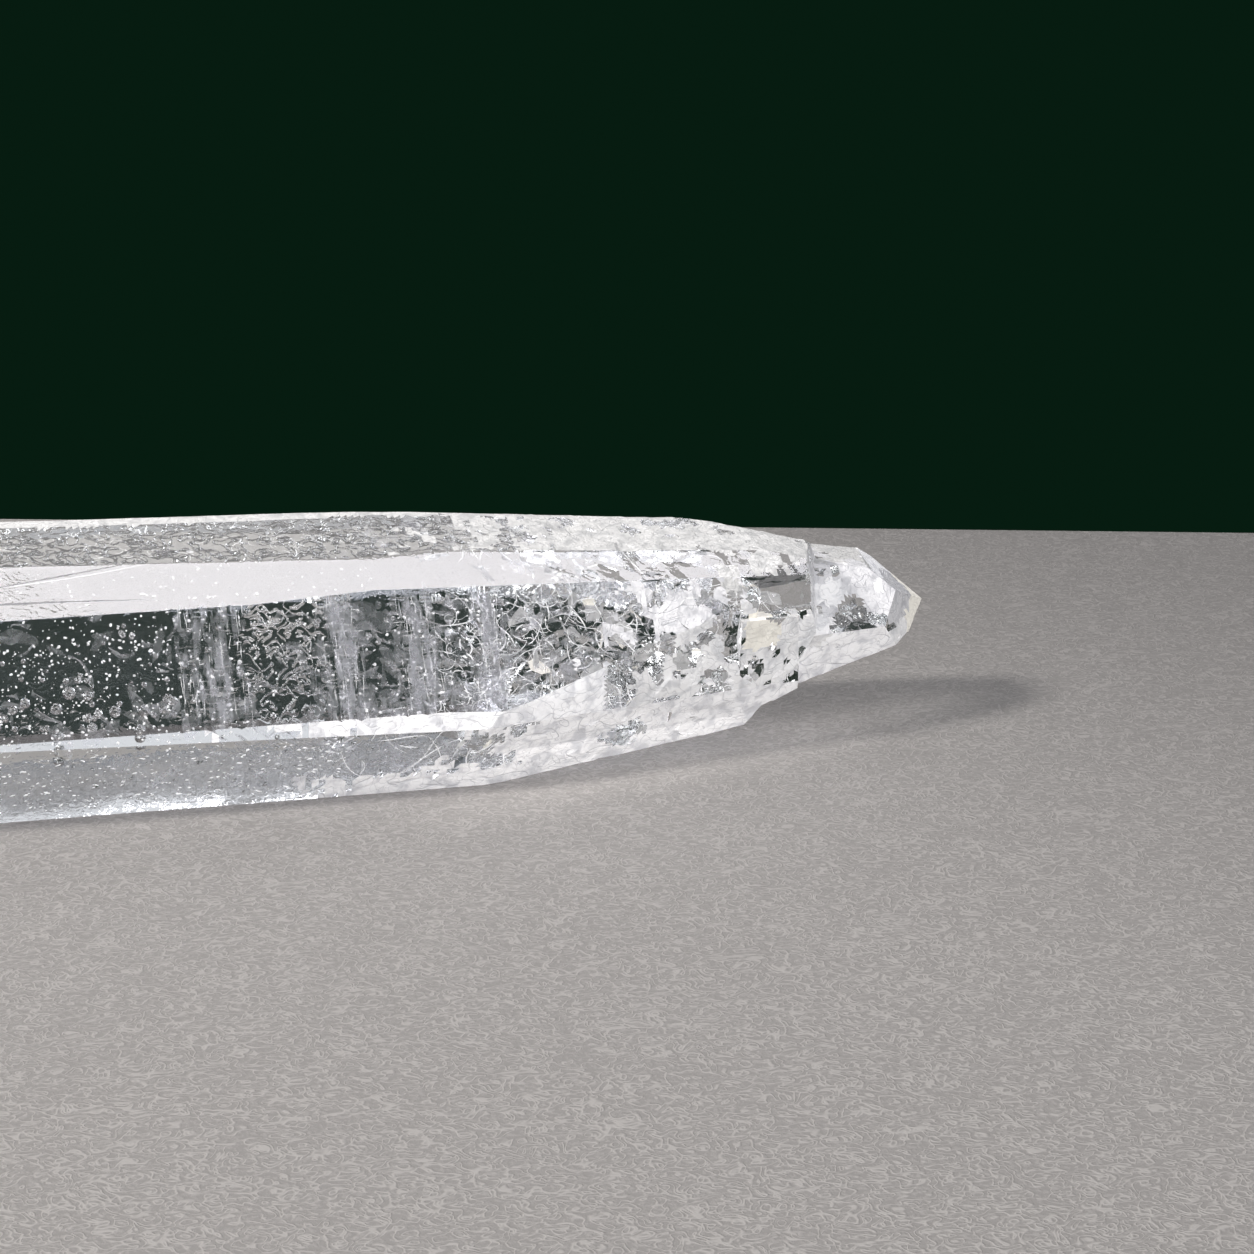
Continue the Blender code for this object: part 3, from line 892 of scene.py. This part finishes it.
# Long lines just under the surface: first end, last end, sideways bow, half-thickness, look
# The LINE ones are painted shade, in place of cracks that mirror the dark wall.
LINES = (
    ((-36.0, -10.4, 22.9), (-13.2, -6.2, 24.7), 0.10, 0.08, LINE),
    ((-38.0, -11.6, 22.4), (-12.5, -11.5, 21.9), -0.20, 0.13, LINE),
    ((-31.0, -9.3, 23.4), (-12.0, -6.5, 24.8), 0.40, 0.04, FLECK),
    ((37.7, -4.6, 22.8), (40.1, -9.5, 20.4), 0.05, 0.06, FLECK),
    ((59.6, -6.9, 11.7), (64.8, -4.4, 8.7), 0.30, 0.10, FLECK),
    ((26.2, -17.4, 9.6), (26.8, -15.2, 4.6), 0.50, 0.09, FLECK),
)
LINE_STEPS = 24
DARK_DEPTH = 0.1  # a dark line's depth as a share of its half-thickness, so it stands out of the face
BRIGHT_DEPTH = 0.12  # depth of a bright line's top


def add_lines(shapes, inside):
    """They follow the surface from end to end."""
    for first, last, bow, thick, look in LINES:
        first, last = Vector(first) * MM, Vector(last) * MM
        depth = DARK_DEPTH * thick if look == LINE else thick + BRIGHT_DEPTH
        path = []
        for step in range(LINE_STEPS + 1):
            share = step / LINE_STEPS
            place, normal, _, _ = inside.tree.find_nearest(first.lerp(last, share))
            side = (last - first).cross(normal).normalized()
            aside = place + side * bow * MM * math.sin(math.pi * share)
            place, normal, _, _ = inside.tree.find_nearest(aside)
            path.append(place - normal * depth * MM)
        points, faces = sliver(path, normal, thick * MM)
        shapes.add(points, faces, look)


# Small bright plates just under the surface: x, y, z, half-length, half-height
# The first two are painted highlights: white plates put where glints of light show on the faces.
PLATES = (
    ((-8.4, -4.4, 25.1), 0.55, 0.32),
    ((3.7, -11.9, 21.2), 0.45, 0.30),
    ((-14.0, -15.0, 17.4), 0.30, 0.22),
)
PLATE_DEPTH = 0.2
PLATE_THICK = 0.1


def add_plates(shapes, inside, dice):
    """They lie along the surface."""
    for place, width, height in PLATES:
        near, normal, _, _ = inside.tree.find_nearest(Vector(place) * MM)
        spot = near - normal * PLATE_DEPTH * MM
        size = width * MM, height * MM, PLATE_THICK * MM
        points, faces = flake(spot, turn_to(normal), *size, 0.0, dice, rings=2, sides=8)
        shapes.add(points, faces, FLECK)


# Bright curved slivers: side, first x, last x, count, radius of curve, sweep in degrees, half-thickness
THREADS = (
    ("upper_front", 16.0, 58.0, 90, (0.7, 4.5), (30, 110), (0.03, 0.10)),
    ("upper_front", 14.0, 50.0, 170, (0.4, 1.8), (60, 200), (0.02, 0.06)),
    ("seam", 34.0, 58.0, 30, (0.8, 4.0), (30, 110), (0.03, 0.10)),
    ("lower_front", 6.0, 52.0, 90, (1.5, 7.0), (20, 80), (0.03, 0.08)),
    ("top", 20.0, 52.0, 60, (1.5, 6.0), (20, 80), (0.03, 0.08)),
    ("top", -34.0, 22.0, 170, (0.4, 1.1), (80, 200), (0.03, 0.06)),
)
THREAD_LEAST_DEPTH = 0.3
THREAD_DEPTH = 0.8  # mean further depth
THREAD_LEAN = 0.4


def add_threads(shapes, inside, dice):
    """They lie along their side, leaning a little out of it."""
    for name, first, last, count, radii, sweeps, thick in THREADS:
        roll, low, high = SIDES[name]
        made = 0
        while made < count:
            x = dice.uniform(first, last)
            side = dice.uniform(low, high)
            depth = THREAD_LEAST_DEPTH + dice.expovariate(1 / THREAD_DEPTH)
            spot, turn = inside.under(x, roll, side, depth)
            if spot is None:
                continue
            lean = Matrix.Rotation(dice.uniform(0, 2 * math.pi), 3, "Z")
            lean = lean @ Matrix.Rotation(dice.gauss(0, THREAD_LEAN), 3, "X")
            radius = dice.uniform(*radii) * MM
            sweep = math.radians(dice.uniform(*sweeps))
            points, faces = thread(spot, turn @ lean, radius, sweep, dice.uniform(*thick) * MM, dice)
            if inside.holds(points, NEAR_MARGIN):
                shapes.add(points, faces, FLECK)
                made += 1


NEEDLES = 90  # in each band of growth steps
NEEDLE_DEPTH = (0.3, 1.4)
NEEDLE_LENGTHS = ((0.4, 1.2), (0.8, 3.2))  # along the crystal, and upright
NEEDLE_THICK = (0.015, 0.045)
NEEDLE_RADIUS = 40  # radius of the wide arc that a needle runs along
NEEDLE_LEAN = 0.05
NEEDLE_MARGIN = 0.12


def add_weave(shapes, inside, dice):
    """Straight fine needles that cross each other, in the bands of growth steps."""
    roll, low, high = SIDES["upper_front"]
    for first, last in WEAVE_BANDS:
        for number in range(NEEDLES):
            x = dice.uniform(first, last)
            side = dice.uniform(low, high)
            spot, turn = inside.under(x, roll, side, dice.uniform(*NEEDLE_DEPTH))
            if spot is None:
                continue
            upright = number % 3 > 0
            angle = math.radians(90 if upright else 0)
            turn = turn @ Matrix.Rotation(angle + dice.gauss(0, NEEDLE_LEAN), 3, "Z")
            sweep = dice.uniform(*NEEDLE_LENGTHS[upright]) / NEEDLE_RADIUS
            thick = dice.uniform(*NEEDLE_THICK) * MM
            points, faces = thread(spot, turn, NEEDLE_RADIUS * MM, sweep, thick, dice, steps=3)
            if inside.holds(points, NEEDLE_MARGIN):
                shapes.add(points, faces, FLECK)


def crystal_piece(dice):
    """The one piece: its surface first, then what is inside it."""
    bm = fine_mesh()
    shapes = Shapes()
    shapes.add(*body_shape(bm))
    bm.free()
    inside = Inside(NODE.data)
    add_flecks(shapes, inside, dice)
    add_bubbles(shapes, inside, dice)
    add_veils(shapes, inside, dice)
    add_smears(shapes, inside, dice)
    add_cracks(shapes, inside, dice)
    add_threads(shapes, inside, dice)
    add_weave(shapes, inside, dice)
    add_lines(shapes, inside)
    add_plates(shapes, inside, dice)
    mesh = shapes.mesh("quartz_crystal_fine")
    piece = bpy.data.objects.new("quartz_crystal_fine", mesh)
    bpy.context.scene.collection.objects.link(piece)
    mesh.materials.append(glass_material())
    for kind in (MILKY_QUARTZ, PALE_QUARTZ, CREAM_QUARTZ, DIMMED_PALE_QUARTZ, BRIGHT_FLECKS, DARK_LINES):
        mesh.materials.append(pale_material(*kind))
    mesh.materials.append(veil_material())
    mesh.materials.append(pale_material(*SOFT_QUARTZ))
    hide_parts("quartz_crystal")
    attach(piece, "root")


# ---------------------------------------------------------------- stage

# The board's far edge runs through these two points of its surface
FAR_EDGE_LEFT = (-19.6, 123.3)
FAR_EDGE_RIGHT = (147.3, 73.0)
BOARD_MIDDLE = 20.0  # how far along that edge, from the left point, the board's middle is
BOARD_WIDTH = 1800.0
BOARD_REACH = 620.0
BOARD_THICKNESS = 6.0


def board():
    """The board that the crystal lies on, with its top at z = 0."""
    left, right = Vector(FAR_EDGE_LEFT), Vector(FAR_EDGE_RIGHT)
    along = (right - left).normalized()
    near = Vector((along.y, -along.x))
    middle = left + along * BOARD_MIDDLE
    bm = bmesh.new()
    size = Vector((BOARD_WIDTH, BOARD_REACH, BOARD_THICKNESS)) * MM
    centre = middle + near * BOARD_REACH / 2
    turn = Matrix.Rotation(math.atan2(along.y, along.x), 4, "Z")
    place = Matrix.Translation(Vector((centre.x, centre.y, -BOARD_THICKNESS / 2)) * MM)
    bmesh.ops.create_cube(bm, size=1.0, matrix=place @ turn @ Matrix.Diagonal(size).to_4x4())
    mesh = bpy.data.meshes.new("board")
    bm.to_mesh(mesh)
    bm.free()
    thing = bpy.data.objects.new("board", mesh)
    bpy.context.scene.collection.objects.link(thing)
    mesh.materials.append(board_material())


# The room, by height above the horizon in degrees: grey walls and a white ceiling
WALL = (0.235, 0.25, 0.28, 1.0)
CEILING = (0.74, 0.75, 0.78, 1.0)
WALL_TOP = 48.0
CEILING_START = 66.0

# The dark green wall behind the crystal: where it is whole and where it ends, up and to each side
GREEN = (0.0022, 0.0115, 0.0055, 1.0)
GREEN_TOP, GREEN_END = 36.0, 50.0
GREEN_WIDTH, GREEN_SOFT_WIDTH = 62.0, 82.0
GREEN_AZIMUTH = 14.0  # its middle, 0 being straight behind and 90 on the tip's side


def room():
    """The world: plain grey walls and a pale ceiling, with a dark green wall behind the crystal."""
    world = bpy.data.worlds.new("studio_room")
    world.use_nodes = True
    graph = Graph(world.node_tree)
    background = world.node_tree.nodes["Background"]
    x, y, z = graph.parts(graph.node("ShaderNodeTexCoord").outputs["Generated"])
    height = graph.math("MULTIPLY", graph.math("ARCSINE", z), 180 / math.pi)
    azimuth = graph.math("MULTIPLY", graph.math("ARCTAN2", x, y), 180 / math.pi)
    aside = graph.math("ABSOLUTE", graph.math("SUBTRACT", azimuth, GREEN_AZIMUTH))
    walls = graph.mix(graph.step(height, WALL_TOP, CEILING_START), WALL, CEILING)
    low = graph.step(height, GREEN_TOP, GREEN_END, 1.0, 0.0)
    behind = graph.step(aside, GREEN_WIDTH, GREEN_SOFT_WIDTH, 1.0, 0.0)
    color = graph.mix(graph.math("MULTIPLY", low, behind), walls, GREEN)
    graph.link(color, background.inputs["Color"])
    background.inputs["Strength"].default_value = 1.0
    bpy.context.scene.world = world


# Lights: name, azimuth, height, distance, width, length, radiance, colour
SOFT_LIGHTS = (
    ("box_behind", 34, 70, 800, 420, 224, 7.2, (0.985, 0.965, 1.03)),
    ("strip_behind", 15, 46, 800, 640, 300, 1.8, (1.0, 0.99, 0.98)),
    ("front_fill", 165, 46, 900, 500, 160, 0.15, (0.98, 0.99, 1.0)),
    ("front_right", 128, 12, 3000, 2600, 1000, 6.6, (1.0, 0.995, 0.99)),
    ("front_left", 232, 12, 3000, 2600, 1000, 6.6, (1.0, 0.995, 0.99)),
)
KEY_LIGHT = ("key", -104.5, 38, 900, 150, 150, 160.0, (1.0, 0.97, 0.93))
KEY_LOOKS_AT = (75, 2, 13)

GLOW_AT = (47.0, -9.7, 4.0)
GLOW_SIZE = (78.0, 10.0)
GLOW_TURN = 24.0
GLOW_RADIANCE = 0.85
GLOW_COLOR = (1.0, 0.97, 0.94)


def direction_of(azimuth, height):
    """The direction to a place at that azimuth and height, in degrees."""
    azimuth, height = math.radians(azimuth), math.radians(height)
    level = math.cos(height)
    return Vector((math.sin(azimuth) * level, math.cos(azimuth) * level, math.sin(height)))


def area_light(name, azimuth, height, distance, width, length, radiance, color,
               shadow=False, towards=(0, 0, 0)):
    """A rectangular light turned to the crystal. Azimuth 0 is behind it and 90 on its tip's side.

    One that casts a shadow is a small lamp: it isn't seen in reflections or through the crystal.
    """
    data = bpy.data.lights.new(name, "AREA")
    data.shape = "RECTANGLE"
    data.size, data.size_y = width * MM, length * MM
    data.energy = radiance * math.pi * data.size * data.size_y
    data.color = color
    data.use_shadow = shadow
    light = bpy.data.objects.new(name, data)
    out = direction_of(azimuth, height)
    light.visible_glossy = light.visible_transmission = not shadow
    light.location = (Vector(towards) + out * distance) * MM
    light.rotation_euler = (-out).to_track_quat("-Z", "Y").to_euler()
    bpy.context.scene.collection.objects.link(light)


def glow():
    """Light that the crystal gathers on the board in front of its taper, which Cycles leaves out."""
    data = bpy.data.lights.new("gathered_light", "AREA")
    data.shape = "ELLIPSE"
    data.size, data.size_y = GLOW_SIZE[0] * MM, GLOW_SIZE[1] * MM
    data.energy = GLOW_RADIANCE * math.pi * data.size * data.size_y * math.pi / 4
    data.color = GLOW_COLOR
    data.use_shadow = False
    light = bpy.data.objects.new("gathered_light", data)
    light.visible_glossy = light.visible_transmission = light.visible_camera = False
    light.location = Vector(GLOW_AT) * MM
    light.rotation_euler = (0.0, 0.0, math.radians(GLOW_TURN))
    bpy.context.scene.collection.objects.link(light)


CAMERA_AT = (-51.70, -368.30, 114.23)
CAMERA_LOOKS_AT = (40.6, 1.91, 12.0)
FIELD_OF_VIEW = 20.0
SENSOR_WIDTH = 36.0
CLIP_START, CLIP_END = 0.01, 20.0  # in metres


def camera():
    data = bpy.data.cameras.new("camera")
    data.sensor_width = SENSOR_WIDTH
    data.lens = SENSOR_WIDTH / 2 / math.tan(math.radians(FIELD_OF_VIEW / 2))
    data.clip_start, data.clip_end = CLIP_START, CLIP_END
    view = bpy.data.objects.new("camera", data)
    view.location = Vector(CAMERA_AT) * MM
    direction = Vector(CAMERA_LOOKS_AT) - Vector(CAMERA_AT)
    view.rotation_euler = direction.to_track_quat("-Z", "Y").to_euler()
    bpy.context.scene.collection.objects.link(view)
    bpy.context.scene.camera = view


crystal_piece(random.Random(SEED))
board()
room()
for kind in SOFT_LIGHTS:
    area_light(*kind)
glow()
area_light(*KEY_LIGHT, shadow=True, towards=KEY_LOOKS_AT)
camera()

scene = bpy.context.scene
scene.view_settings.view_transform = "Standard"
scene.cycles.max_bounces = 12
scene.cycles.glossy_bounces = 8
scene.cycles.transmission_bounces = 12
